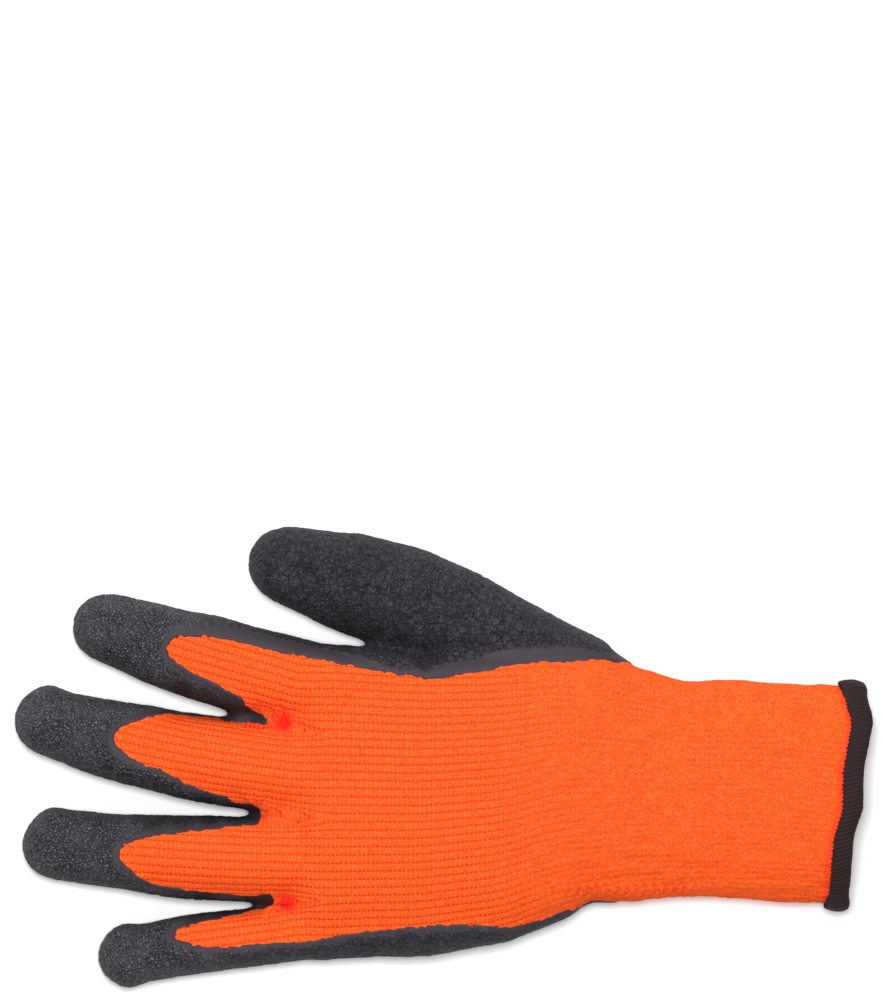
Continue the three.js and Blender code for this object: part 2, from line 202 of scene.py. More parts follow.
@dataclass
class Surface:
    """Quad mesh in millimetres, with numbers carried by its points."""

    points: np.ndarray
    quads: np.ndarray
    marks: dict[Mark, np.ndarray] = field(default_factory=dict)

    @classmethod
    def around(cls, nodes: list[str], voxel: float, webs: "tuple[Web, ...]" = ()) -> "Surface":
        """Remeshes several solids of the frame as one.

        Args:
            nodes: Names of the frame's nodes.
            voxel: Size of the new faces in millimetres.
            webs: Webs that are joined to them.

        Returns:
            The skin of all of them, outside and inside.
        """
        meshes = [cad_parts[name].data for name in nodes] + [web.mesh() for web in webs]
        points, faces, _ = gathered(meshes)
        joined = bpy.data.meshes.new("joined")
        joined.from_pydata(points, [], faces)
        holder = bpy.data.objects.new("joined", joined)
        bpy.context.scene.collection.objects.link(holder)
        remesh = holder.modifiers.new("remesh", "REMESH")
        remesh.mode = "VOXEL"
        remesh.voxel_size = voxel * MILLIMETRE
        remesh.adaptivity = 0.0
        ready = holder.evaluated_get(bpy.context.evaluated_depsgraph_get()).data
        flat = np.empty(len(ready.vertices) * 3, np.float32)
        ready.vertices.foreach_get("co", flat)
        corners = np.empty(len(ready.loops), np.int32)
        ready.loops.foreach_get("vertex_index", corners)
        bpy.data.objects.remove(holder)
        bpy.data.meshes.remove(joined)
        return cls(flat.reshape(-1, 3).astype(float) / MILLIMETRE, corners.reshape(-1, 4))

    def sides(self) -> np.ndarray:
        """Pairs of points that the quads' sides join, four in a row for each quad."""
        pairs = np.stack([self.quads, np.roll(self.quads, -1, axis=1)], axis=2).reshape(-1, 2)
        return np.sort(pairs, axis=1)

    def edges(self) -> np.ndarray:
        """Pairs of points that a quad's side joins, each pair once."""
        return np.unique(self.sides(), axis=0)

    def rim(self) -> np.ndarray:
        """True for the points on the surface's open edges."""
        pairs, counts = np.unique(self.sides(), axis=0, return_counts=True)
        on_rim = np.zeros(len(self.points), bool)
        on_rim[pairs[counts == 1].ravel()] = True
        return on_rim

    def normals(self) -> np.ndarray:
        """Outward direction at each point."""
        corner = self.points[self.quads]
        across = np.cross(corner[:, 2] - corner[:, 0], corner[:, 3] - corner[:, 1])
        total = np.zeros_like(self.points)
        for axis in range(3):
            weight = np.repeat(across[:, axis], 4)
            total[:, axis] = np.bincount(self.quads.ravel(), weight, len(self.points))
        return total / np.maximum(np.linalg.norm(total, axis=1, keepdims=True), 1e-12)

    def relaxed(self, values: np.ndarray, steps: int) -> np.ndarray:
        """Evens out values over the surface, with those on its rim held.

        Args:
            values: A row of numbers for each point.
            steps: How often each point moves half way to its neighbours.

        Returns:
            The values after that.
        """
        first, second = self.edges().T
        count = len(self.points)
        held = self.rim()
        neighbours = np.bincount(first, minlength=count) + np.bincount(second, minlength=count)
        for _ in range(steps):
            mean = np.empty_like(values)
            for axis in range(values.shape[1]):
                column = values[:, axis]
                mean[:, axis] = np.bincount(first, column[second], count)
                mean[:, axis] += np.bincount(second, column[first], count)
            mean /= np.maximum(neighbours, 1)[:, None]
            mean[held] = values[held]
            values = 0.5 * (values + mean)
        return values

    def smooth(self, steps: int) -> None:
        """Takes the flats off the surface and gives back what that shrank it by."""
        soft = self.relaxed(self.points, steps)
        self.points = soft + self.relaxed(self.points - soft, steps)

    def part(self, chosen: np.ndarray) -> "Surface":
        """The quads that are chosen, with their points only."""
        quads = self.quads[chosen]
        used, renumbered = np.unique(quads, return_inverse=True)
        marks = {mark: values[used] for mark, values in self.marks.items()}
        return Surface(self.points[used], renumbered.reshape(-1, 4), marks)

    def islands(self) -> list["Surface"]:
        """The surface's separate sheets, the one with the most quads first."""
        first, second = self.edges().T
        label = np.arange(len(self.points))
        while True:
            low = np.minimum(label[first], label[second])
            spread = label.copy()
            np.minimum.at(spread, first, low)
            np.minimum.at(spread, second, low)
            spread = spread[spread]
            if np.array_equal(spread, label):
                break
            label = spread
        of_quad = label[self.quads[:, 0]]
        names, counts = np.unique(of_quad, return_counts=True)
        order = names[np.argsort(-counts)]
        return [self.part(of_quad == name) for name in order]

    def finer(self) -> "Surface":
        """Splits each quad into four, which follow each other in the new surface."""
        count = len(self.points)
        pairs, of_side = np.unique(self.sides(), axis=0, return_inverse=True)
        of_side = of_side.reshape(-1, 4) + count
        middle = np.arange(len(self.quads)) + count + len(pairs)

        def spread(values: np.ndarray) -> np.ndarray:
            """Values at the old points, then at the sides' and the quads' middles."""
            middles = [values[group].mean(axis=1) for group in (pairs, self.quads)]
            return np.concatenate([values, *middles])

        quads = np.empty((len(self.quads), 4, 4), np.int64)
        for corner in range(4):
            quads[:, corner, 0] = self.quads[:, corner]
            quads[:, corner, 1] = of_side[:, corner]
            quads[:, corner, 2] = middle
            quads[:, corner, 3] = of_side[:, corner - 1]
        marks = {mark: spread(values) for mark, values in self.marks.items()}
        return Surface(spread(self.points), quads.reshape(-1, 4), marks)

    def become(self, name: str, slot: Slot, nodes: list[str], material: bpy.types.Material) -> None:
        """Turns the surface into a piece of the glove.

        Args:
            name: The piece's name.
            slot: The record's slot for its finish. Not used.
            nodes: Nodes of the frame that it stands for.
            material: Its finish.
        """
        mesh = bpy.data.meshes.new(name)
        mesh.vertices.add(len(self.points))
        mesh.vertices.foreach_set("co", (self.points * MILLIMETRE).astype(np.float32).ravel())
        mesh.loops.add(self.quads.size)
        mesh.loops.foreach_set("vertex_index", self.quads.astype(np.int32).ravel())
        mesh.polygons.add(len(self.quads))
        mesh.polygons.foreach_set("loop_start", np.arange(0, self.quads.size, 4, dtype=np.int32))
        mesh.polygons.foreach_set("use_smooth", np.ones(len(self.quads), bool))
        mesh.update(calc_edges=True)
        for mark, values in self.marks.items():
            layer = mesh.attributes.new(mark.value, "FLOAT", "POINT")
            layer.data.foreach_set("value", values.astype(np.float32))
        mesh.materials.append(material)
        piece = bpy.data.objects.new(name, mesh)
        bpy.context.scene.collection.objects.link(piece)
        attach(piece, "root")
        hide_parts(*nodes)
        log.info("%s: %d points, %d triangles", name, len(self.points), 2 * len(self.quads))


def feed(tree: bpy.types.NodeTree, socket: bpy.types.NodeSocket, value: object) -> None:
    """Gives a node's input a value.

    Args:
        tree: The tree that the node is in.
        socket: The input.
        value: A wire that is linked to it, or a constant that it is set to.
    """
    if isinstance(value, Wire):
        tree.links.new(value.socket, socket)
    else:
        socket.default_value = value


class Wire:
    """A number, colour or vector on its way between nodes. Sums on numbers add Math nodes."""

    def __init__(self, tree: bpy.types.NodeTree, socket: bpy.types.NodeSocket) -> None:
        """Holds an output socket of a tree."""
        self.tree = tree
        self.socket = socket

    def sum_of(self, operation: str, *values: "Wire | float") -> "Wire":
        """Adds a Math node.

        Args:
            operation: The node's operation.
            values: Its inputs, in order.

        Returns:
            Its output.
        """
        node = self.tree.nodes.new("ShaderNodeMath")
        node.operation = operation
        for socket, value in zip(node.inputs, values):
            feed(self.tree, socket, value)
        return Wire(self.tree, node.outputs[0])

    def __add__(self, other: "Wire | float") -> "Wire":
        """self + other."""
        return self.sum_of("ADD", self, other)

    __radd__ = __add__

    def __sub__(self, other: "Wire | float") -> "Wire":
        """self - other."""
        return self.sum_of("SUBTRACT", self, other)

    def __rsub__(self, other: float) -> "Wire":
        """other - self."""
        return self.sum_of("SUBTRACT", other, self)

    def __mul__(self, other: "Wire | float") -> "Wire":
        """self * other."""
        return self.sum_of("MULTIPLY", self, other)

    __rmul__ = __mul__

    def __abs__(self) -> "Wire":
        """self without its sign."""
        return self.sum_of("ABSOLUTE", self)

    def part(self) -> "Wire":
        """What self has past the whole number below it."""
        return self.sum_of("FRACT", self)

    def wave(self) -> "Wire":
        """Wave from 0 to 1 that repeats where self grows by 1."""
        return self.sum_of("SINE", self * FULL_TURN) * 0.5 + 0.5

    def step(self, low: float, high: float) -> "Wire":
        """Smooth step from 0 where self is low to 1 where it is high."""
        node = self.tree.nodes.new("ShaderNodeMapRange")
        node.interpolation_type = "SMOOTHSTEP"
        for name, value in (("Value", self), ("From Min", low), ("From Max", high)):
            feed(self.tree, node.inputs[name], value)
        return Wire(self.tree, node.outputs[0])


class Recipe:
    """A material under way: its nodes, and the shader that they feed."""

    def __init__(self, name: str) -> None:
        """Starts a material with its shader."""
        self.material = bpy.data.materials.new(name)
        self.material.use_nodes = True
        self.tree = self.material.node_tree
        self.shader = self.tree.nodes["Principled BSDF"]
        self.place = self.node("ShaderNodeTexCoord", output="Object")

    def node(
        self,
        kind: str,
        settings: dict[str, object] | None = None,
        values: dict[str, object] | None = None,
        output: str | int = 0,
    ) -> Wire:
        """Adds any node.

        Args:
            kind: The node's type.
            settings: Its properties, set first.
            values: Numbers, colours or wires for its sockets.
            output: Which of its outputs is wanted.

        Returns:
            That output.
        """
        node = self.tree.nodes.new(kind)
        for name, value in (settings or {}).items():
            setattr(node, name, value)
        for name, value in (values or {}).items():
            feed(self.tree, node.inputs[name], value)
        return Wire(self.tree, node.outputs[output])

    def mark(self, mark: Mark) -> Wire:
        """The number that the surface's points carry."""
        return self.node("ShaderNodeAttribute", {"attribute_name": mark.value}, output="Fac")

    def counted(self, size: float) -> Wire:
        """Place on the surface, counted in steps of a size in millimetres."""
        values = {"Vector": self.place, "Scale": 1.0 / (size * MILLIMETRE)}
        return self.node("ShaderNodeVectorMath", {"operation": "SCALE"}, values)

    def grain(self, size: float, detail: float = 2.0) -> Wire:
        """Noise from 0 to 1, with lumps of a size in millimetres and some finer layers."""
        values = {"Vector": self.counted(size), "Scale": 1.0, "Detail": detail}
        return self.node("ShaderNodeTexNoise", {}, values, "Fac")

    def cells(self, size: float, unevenness: Wire) -> Wire:
        """Pattern of cells with bent sides.

        Args:
            size: Distance between cells in millimetres.
            unevenness: Bends the cells' sides.

        Returns:
            The distance from the nearest side, as a share of a cell.
        """
        values = {0: self.counted(size), 1: unevenness}
        bent = self.node("ShaderNodeVectorMath", {"operation": "ADD"}, values)
        settings, values = {"feature": "DISTANCE_TO_EDGE"}, {"Vector": bent, "Scale": 1.0}
        return self.node("ShaderNodeTexVoronoi", settings, values, "Distance")

    def blend(self, share: Wire | float, low: Wire | Colour, high: Wire | Colour) -> Wire:
        """Colour that goes from low to high as share goes from 0 to 1."""
        node = self.tree.nodes.new("ShaderNodeMix")
        node.data_type = "RGBA"
        feed(self.tree, node.inputs[0], share)
        for socket, tone in ((node.inputs[6], low), (node.inputs[7], high)):
            feed(self.tree, socket, tone if isinstance(tone, Wire) else (*tone, 1.0))
        return Wire(self.tree, node.outputs[2])

    def bump(self, height: Wire, depth: float) -> Wire:
        """Normal of a relief that isn't in the mesh, with its depth in millimetres."""
        values = {"Height": height, "Distance": depth * MILLIMETRE, "Strength": 1.0}
        return self.node("ShaderNodeBump", {}, values)

    def finish(self, values: dict[str, Wire | float]) -> bpy.types.Material:
        """Gives the shader's inputs their wires and constants, and returns the material."""
        for name, value in values.items():
            feed(self.tree, self.shader.inputs[name], value)
        return self.material


@dataclass(frozen=True)
class KnitFinish:
    """Bright plain knit: flat wales parted by fine dotted lines, fuzzier towards the cuff."""

    name: str
    yarn: Colour = (0.78, 0.058, 0.007)
    pale: Colour = (0.84, 0.145, 0.027)
    shade: Colour = (0.6, 0.022, 0.006)
    red_shade_tone: Colour = (0.82, 0.018, 0.012)
    line_width: float = 0.19
    line_strength: float = 0.9
    fuzzy_strength: float = 0.45
    between_dots: float = 0.28
    wander_size: float = 3.0
    wander: float = 0.08
    fuzzy_wander: float = 0.35
    course_wander_size: float = 3.5
    course_wander: float = 0.5
    stitch_slant: float = 0.45
    patch_size: float = 7.0
    speckle_size: float = 0.45
    tuft_size: float = 1.1
    depth: float = 0.3
    roughness: float = 0.95
    gloss: float = 0.06

    def material(self) -> bpy.types.Material:
        """Builds the material."""
        recipe = Recipe(self.name)
        fuzz = recipe.mark(Mark.FUZZ)
        astray = recipe.grain(self.wander_size, 3.0) - 0.5
        wale = (recipe.mark(Mark.WALE) + astray * (fuzz * self.fuzzy_wander + self.wander)).part()
        astray = recipe.grain(self.course_wander_size) - 0.5
        course = recipe.mark(Mark.COURSE) + astray * self.course_wander
        off_middle = abs(wale - 0.5) * 2.0
        groove = off_middle.step(1.0 - 2.0 * self.line_width, 1.0 - 0.2 * self.line_width)
        dots = course.wave().step(0.25, 0.75) * (1.0 - self.between_dots) + self.between_dots
        patches = recipe.grain(self.patch_size).step(0.35, 0.6) * fuzz + (1.0 - fuzz)
        lost = fuzz * (self.line_strength - self.fuzzy_strength)
        dotted = groove * dots * (patches * (self.line_strength - lost))
        stitch = (course + off_middle * self.stitch_slant).wave()
        speckle = recipe.grain(self.speckle_size, 3.0)
        tuft = recipe.grain(self.tuft_size)
        tone = recipe.blend(speckle.step(0.36, 0.66), self.yarn, self.pale)
        tone = recipe.blend(tuft.step(0.5, 0.72) * 0.5, tone, self.yarn)
        tone = recipe.blend(stitch.step(0.5, 1.0) * 0.25 * (1.0 - fuzz * 0.5), tone, self.yarn)
        # Painted shade: the knit is coloured a deeper, saturated red by the crotches and beside the
        # hem, where shade and orange bounce light fall.
        tone = recipe.blend(recipe.mark(Mark.RED_SHADE), tone, self.red_shade_tone)
        tone = recipe.blend(dotted, tone, self.shade)
        height = stitch * 0.2 + speckle * 0.4 + tuft * (fuzz * 0.9 + 0.3) - dotted * 0.45
        return recipe.finish({
            "Base Color": tone,
            "Normal": recipe.bump(height, self.depth),
            "Roughness": self.roughness,
            "Specular IOR Level": self.gloss,
        })


@dataclass(frozen=True)
class LatexFinish:
    """Dark latex, crinkled in the dip, and smooth near its edges, with painted shade in its
    crinkle, on its steep sides and beside the gaps between the digits.
    """

    name: str = "crinkled_latex"
    shade_black: Colour = (0.003, 0.002, 0.004)
    dark: Colour = (0.062, 0.057, 0.07)
    worn: Colour = (0.135, 0.129, 0.147)
    smooth: Colour = (0.029, 0.022, 0.028)
    crumb: float = 0.95
    wrinkle: float = 2.3
    plate: float = 4.8
    bends_per_metre: float = 750.0
    grit: float = 0.5
    patch_size: float = 8.0
    fold_strength: float = 0.75
    crack_strength: float = 0.9
    flat_grit: float = 0.18
    flat_relief: float = 0.06
    depth: float = 0.6
    roughness: float = 0.66
    roughness_size: float = 14.0
    roughness_range: float = 0.12
    gloss: float = 0.3

    def material(self) -> bpy.types.Material:
        """Builds the material."""
        recipe = Recipe(self.name)
        # worn carries paler wear towards the fingertips, lowered on the steep sides as painted
        # shade.
        crinkle, worn = recipe.mark(Mark.CRINKLE), recipe.mark(Mark.WEAR_AND_SIDE_SHADE)
        values = {"Vector": recipe.place, "Scale": self.bends_per_metre, "Detail": 1.0}
        bend = recipe.node("ShaderNodeTexNoise", {}, values, "Color")
        sizes = (self.crumb, self.wrinkle, self.plate)
        crumbs, wrinkles, plates = (recipe.cells(size, bend) for size in sizes)
        grit = recipe.grain(self.grit, 3.0)
        crumbly = recipe.grain(self.patch_size).step(0.38, 0.62) * 0.25 + worn * 0.3 + 0.4
        fine = (1.0 - crumbs.step(0.02, 0.3)) * crumbly
        folds = (1.0 - wrinkles.step(0.0, 0.13)) * (1.0 - worn * 0.5)
        cracks = (1.0 - plates.step(0.0, 0.035)) * (1.0 - worn)
        # Painted shade: the crinkle's pits, crumbs, folds and cracks are coloured near black, the
        # shade of a relief that the bump barely shades; the worn pale grey stays on the tops.
        top = recipe.blend(worn, self.dark, self.worn)
        tone = recipe.blend(grit.step(0.32, 0.62), recipe.blend(0.72, top, self.shade_black), top)
        for share in (fine, folds * self.fold_strength, cracks * self.crack_strength):
            tone = recipe.blend(share, tone, self.shade_black)
        flat = recipe.blend(grit.step(0.35, 0.7) * self.flat_grit, self.smooth, self.dark)
        tone = recipe.blend(crinkle, flat, tone)
        # Painted shade: near black on the steep sides and beside the gaps between the digits.
        tone = recipe.blend(recipe.mark(Mark.PAINTED_SHADE), tone, self.shade_black)
        relief = crumbs.step(0.0, 0.4) * 0.5 + wrinkles.step(0.0, 0.25) * 0.5
        relief = relief + grit * 0.35 - cracks * 0.5
        height = relief * (crinkle * (1.0 - self.flat_relief) + self.flat_relief)
        uneven_by = (recipe.grain(self.roughness_size, 3.0) - 0.5) * self.roughness_range
        return recipe.finish({
            "Base Color": tone,
            "Roughness": self.roughness + uneven_by,
            "Normal": recipe.bump(height, self.depth),
            "Specular IOR Level": self.gloss,
        })


@dataclass(frozen=True)
class HemFinish:
    """Dark overlocked thread around the mouth."""

    name: str = "hem_thread"
    thread: Colour = (0.018, 0.0055, 0.006)
    gap: Colour = (0.01, 0.003, 0.0034)
    lint: Colour = (0.045, 0.02, 0.021)
    strands: float = 4.0
    fibre: float = 0.35
    depth: float = 0.22
    roughness: float = 0.72
    gloss: float = 0.25

    def material(self) -> bpy.types.Material:
        """Builds the material."""
        recipe = Recipe(self.name)
        thread = recipe.mark(Mark.THREAD)
        wrap = thread.wave()
        fibre = recipe.grain(self.fibre, 3.0)
        tone = recipe.blend(wrap.step(0.0, 0.5), self.gap, self.thread)
        tone = recipe.blend(fibre.step(0.55, 0.85) * 0.35, tone, self.lint)
        height = wrap * 0.35 + (thread * self.strands).wave() * 0.15 + fibre * 0.35
        return recipe.finish({
            "Base Color": tone,
            "Normal": recipe.bump(height, self.depth),
            "Roughness": self.roughness,
            "Specular IOR Level": self.gloss,
        })


@dataclass(frozen=True)
class Section:
    """Shape of a section across the hand: superellipses above and below its widest level."""

    power: float = 2.2
    widest_level: float = 0.46
    steps: int = 90

    def crest(self, aside: np.ndarray, half: np.ndarray, thick: np.ndarray) -> np.ndarray:
        """Height of its back above its lowest point, at a distance from its middle line."""
        left = 1.0 - np.minimum(np.abs(aside) / half, 1.0) ** self.power
        return thick * (self.widest_level + (1.0 - self.widest_level) * left ** (1.0 / self.power))

    def around(
        self, aside: np.ndarray, up: np.ndarray, half: np.ndarray, thick: np.ndarray
    ) -> np.ndarray:
        """Distance around the section from the middle of its back.

        Args:
            aside: Distance from the middle line.
            up: Height above the section's lowest point.
            half: Half its width.
            thick: Its thickness.

        Returns:
            The distance, with the sign of aside.
        """
        rise = 1.0 - self.widest_level
        turn = np.linspace(0.0, math.pi / 2.0, self.steps)
        across = np.sin(turn) ** (2.0 / self.power)
        upward = np.cos(turn) ** (2.0 / self.power)
        flatness = float(np.mean(thick * rise / half))
        length = walked(np.stack([across, upward * flatness], axis=1))
        angle = np.arctan2(across, upward)
        level = thick * self.widest_level
        below = np.maximum(level - up, 0.0) / level
        share = np.abs(aside) / half
        over_back = np.interp(share, across, length)
        under = 2.0 * length[-1] - np.interp(np.arctan2(share, below), angle, length)
        reached = np.where(up >= level, over_back, under)
        return np.sign(aside) * reached * half


@dataclass(frozen=True)
class Digit:
    """One digit's middle line in plan, curved from heading to heading + bend."""

    root: tuple[float, float]
    length: float
    heading: float
    bend: float
    width: float
    thickness: float
    steps: int = 36

    def line(self) -> np.ndarray:
        """Points on the middle line, from the root to the tip."""
        first, second = math.radians(self.heading), math.radians(self.heading + self.bend)
        start = np.array(self.root)
        turn = start + self.length / 2.0 * np.array([-math.cos(first), math.sin(first)])
        tip = turn + self.length / 2.0 * np.array([-math.cos(second), math.sin(second)])
        share = np.linspace(0.0, 1.0, self.steps)[:, None]
        return (1 - share) ** 2 * start + 2 * share * (1 - share) * turn + share**2 * tip

    def point_at(self, along: float) -> np.ndarray:
        """Place on the middle line at a distance from the root."""
        line = self.line()
        return np.array([np.interp(along, walked(line), line[:, axis]) for axis in (0, 1)])

    def place(self, points: np.ndarray) -> tuple[np.ndarray, np.ndarray]:
        """Where points lie on the digit, seen from above.

        Args:
            points: Places in millimetres.

        Returns:
            How far each is along the middle line from the root, and how far to its +Y side.
        """
        line = self.line()
        tangent = np.gradient(line, axis=0)
        tangent /= np.linalg.norm(tangent, axis=1, keepdims=True)
        plan = points[:, :2]
        nearest = np.argmin(((plan[:, None, :] - line[None]) ** 2).sum(axis=2), axis=1)
        offset = plan - line[nearest]
        ahead = tangent[nearest]
        along = walked(line)[nearest] + (offset * ahead).sum(axis=1)
        return along, -leftward(ahead, offset)


@dataclass(frozen=True)
class Web:
    """Latex that closes the end of the gap between two fingers, in millimetres."""

    start: tuple[float, float]
    end: tuple[float, float]
    width: float
    middle: float = 9.0
    height: float = 11.0
    lumps: int = 4

    def mesh(self) -> bpy.types.Mesh:
        """A row of flattened balls along the gap, in metres."""
        shape = bmesh.new()
        size = Vector((self.width, self.width, self.height)) * MILLIMETRE
        first, last = (Vector((*place, self.middle)) for place in (self.start, self.end))
        for share in np.linspace(0.0, 1.0, self.lumps):
            place = Matrix.LocRotScale(first.lerp(last, share) * MILLIMETRE, None, size)
            bmesh.ops.create_icosphere(shape, subdivisions=3, radius=0.5, matrix=place)
        mesh = bpy.data.meshes.new("web")
        shape.to_mesh(mesh)
        shape.free()
        return mesh


@dataclass(frozen=True)
class Patch:
    """Place by a crotch that is dipped or bare, seen from above, in millimetres."""

    corners: tuple[tuple[float, float], ...]
    dipped: bool
    lowest: float = 8.0
    highest: float = 99.0

    def holds(self, points: np.ndarray) -> np.ndarray:
        """Whether each point lies over the patch, whose corners go anticlockwise."""
        inside = (points[:, 2] > self.lowest) & (points[:, 2] < self.highest)
        corners = np.array(self.corners)
        for start, end in zip(corners, np.roll(corners, -1, axis=0)):
            inside &= leftward(end - start, points[:, :2] - start) > 0.0
        return inside


@dataclass(frozen=True)
class PalmRow:
    """Place and size of one section across the hand or the cuff."""

    x: float
    middle: float
    half: float
    thickness: float


@dataclass(frozen=True)
class MouthRow:
    """How far the wavy mouth lies out at a place across it."""

    across: float
    out: float


@dataclass(frozen=True)
class HandPlan:
    """Where the digits, the palm and the cuff lie, seen from above, in millimetres."""

    index: Digit = Digit((-29.1, 19.0), 84.2, 11.6, 8.3, 22.0, 20.0)
    middle: Digit = Digit((-29.1, -5.9), 101.5, 3.6, 14.0, 23.0, 21.0)
    ring: Digit = Digit((-29.1, -31.8), 97.5, -1.0, 8.5, 22.0, 20.0)
    little: Digit = Digit((-29.1, -51.9), 74.8, -5.7, -5.0, 15.0, 17.0)
    thumb: Digit = Digit((43.4, 22.4), 108.5, 29.0, -17.0, 29.0, 19.0)
    rows: tuple[PalmRow, ...] = (
        PalmRow(-46.2, -14.4, 45.6, 21.1),
        PalmRow(-37.1, -14.4, 46.7, 24.8),
        PalmRow(-6.0, -14.5, 44.7, 30.1),
        PalmRow(18.9, -12.5, 42.8, 31.0),
        PalmRow(34.9, -8.7, 40.0, 30.1),
        PalmRow(58.7, -8.6, 35.7, 27.0),
        PalmRow(70.9, -10.1, 33.2, 24.8),
        PalmRow(98.9, -10.1, 33.2, 25.0),
        PalmRow(126.8, -12.5, 33.2, 25.0),
    )
    waves: tuple[MouthRow, ...] = (
        MouthRow(-45.0, -0.9),
        MouthRow(-25.0, -1.3),
        MouthRow(-16.0, 0.8),
        MouthRow(-3.0, 0.1),
        MouthRow(10.5, 1.8),
        MouthRow(21.0, -1.7),
    )
    webs: tuple[Web, ...] = (
        Web((-61.2, 12.0), (-54.0, 11.0), 5.6),
        Web((-55.5, -17.0), (-53.5, -17.3), 5.2),
    )
    patches: tuple[Patch, ...] = (
        Patch(((-22.0, 29.0), (6.0, 28.5), (6.0, 40.0), (-22.0, 40.0)), True, 3.0),
        Patch(((-67.0, 10.0), (-51.0, 9.5), (-49.5, 10.4), (-58.9, 14.9), (-67.0, 17.6)), True),
        Patch(((-67.0, 2.0), (-45.0, 2.0), (-45.0, 22.0), (-67.0, 22.0)), True, -1.0, 8.0),
        Patch(((-58.0, 2.0), (-42.0, 2.0), (-42.0, 9.5), (-58.0, 9.5)), False),
        Patch(((-49.6, 10.5), (-42.0, 10.5), (-42.0, 20.0), (-58.9, 20.0), (-58.9, 15.2)), False),
        Patch(((-49.6, 2.0), (-42.0, 2.0), (-42.0, 20.0), (-49.6, 20.0)), False),
        Patch(((-63.5, -20.0), (-54.6, -18.6), (-54.6, -14.6), (-63.5, -14.8)), True),
        Patch(((-66.0, -26.0), (-46.0, -26.0), (-46.0, -8.0), (-66.0, -8.0)), True, -1.0, 8.0),
        Patch(((-54.5, -26.0), (-40.0, -26.0), (-40.0, -8.0), (-54.5, -8.0)), False),
        Patch(((-63.0, -14.6), (-54.5, -14.4), (-54.5, -8.0), (-63.0, -8.0)), False),
        Patch(((-59.0, -47.0), (-50.0, -45.6), (-50.0, -43.2), (-59.0, -43.4)), True),
        Patch(((-49.7, -52.0), (-40.0, -52.0), (-40.0, -38.0), (-49.7, -38.0)), False),
        Patch(((-59.5, -52.0), (-49.6, -52.0), (-49.6, -45.8), (-59.5, -47.6)), False),
    )
    wale: float = 2.55
    course: float = 1.35
    floor: float = 1.3
    fork_start: float = 2.0
    fork_end: float = 24.0
    rounding: float = 9.0
    wave_rounding: float = 3.0
    section: Section = Section()

    def crotches(self) -> np.ndarray:
        """Places between the digits where the knit puckers."""
        return np.array([(-48.5, 10.4), (-56.5, -16.4), (-51.5, -44.9)])

    def red_shade_spots(self) -> np.ndarray:
        """Places past the crotches where the knit's colour is painted a deeper red, as shade."""
        return np.array([(-47.6, 10.0), (-46.8, -44.6)])

    def gap_shade(self) -> np.ndarray:
        """Places beside the gaps between the digits, where the latex is painted darker as shade."""
        beside_thumb = [(-28.0, 42.0), (-20.0, 38.5), (-12.0, 36.0), (-4.0, 33.0)]
        beside_index = [(-78.0, 19.5), (-71.0, 16.5), (-64.0, 14.0), (-57.0, 12.0)]
        beside_middle = [(-70.0, -13.5), (-62.0, -15.5), (-56.5, -17.0)]
        beside_ring = [(-86.0, -20.0), (-78.0, -20.5), (-70.0, -20.5), (-62.0, -19.5)]
        beside_ring.append((-72.0, -42.5))
        beside_little = [(-74.0, -50.0), (-66.0, -48.0), (-58.0, -45.5), (-52.0, -44.5)]
        return np.array(beside_thumb + beside_index + beside_middle + beside_ring + beside_little)

    def tip_corners(self) -> np.ndarray:
        """Corners of the fingertips' outlines, where the dip bulges."""
        return np.array([(-119.2, 20.6), (-118.3, -17.0), (-95.0, -68.6), (-96.5, -53.6)])

    def fingers(self) -> tuple[Digit, ...]:
        """The four fingers, from the thumb side."""
        return self.index, self.middle, self.ring, self.little

    def on_thumb(self, points: np.ndarray) -> np.ndarray:
        """1 on the thumb and 0 off it."""
        along, aside = self.thumb.place(points)
        past_side = np.abs(aside) / self.thumb.width
        return (1.0 - eased(past_side, 0.5, 0.7)) * (along > 0.0)

    def sway(self, across: np.ndarray) -> np.ndarray:
        """How far the wavy mouth lies out at places across it."""
        places = [row.across for row in self.waves]
        return curved(across, places, [row.out for row in self.waves], self.wave_rounding)

    def over_palm(self, points: np.ndarray) -> tuple[np.ndarray, np.ndarray]:
        """Wales and courses counted over the hand and the cuff.

        Args:
            points: Places in millimetres. A height of minus infinity stands for the back's own.

        Returns:
            The wale's and the course's number at each point.
        """
        x = [row.x for row in self.rows]
        at = points[:, 0]
        middle, half, thick = (
            curved(at, x, [getattr(row, name) for row in self.rows], self.rounding)
            for name in ("middle", "half", "thickness")
        )
        aside = points[:, 1] - middle
        crest = self.section.crest(aside, half, thick)
        up = np.where(np.isinf(points[:, 2]), crest, points[:, 2] - self.floor)
        around = self.section.around(aside, up, half, thick)
        widest = max(row.half for row in self.rows)
        return around * widest / half / self.wale, -at / self.course

    def knitted(self, points: np.ndarray) -> tuple[np.ndarray, np.ndarray]:
        """Wales and courses counted over the whole liner, which fork into the fingers.

        Args:
            points: Places in millimetres.

        Returns:
            The wale's and the course's number at each point.
        """
        wale, course = self.over_palm(points)
        places = [(finger, *finger.place(points)) for finger in self.fingers()]
        owner = np.argmin([np.abs(aside) / finger.width for finger, _, aside in places], axis=0)
        for number, (finger, along, aside) in enumerate(places):
            half = np.full(len(points), finger.width / 2.0)
            thick = np.full(len(points), finger.thickness)
            around = self.section.around(aside, points[:, 2] - self.floor, half, thick)
            fork = finger.point_at((self.fork_start + self.fork_end) / 2.0)
            start = self.over_palm(np.array([(*fork, -np.inf)]))[0][0]
            of_finger = eased(along, self.fork_start, self.fork_end) * (owner == number)
            wale = wale + of_finger * (start + around / self.wale - wale)
            course = course + of_finger * ((along - finger.root[0]) / self.course - course)
        return wale, course


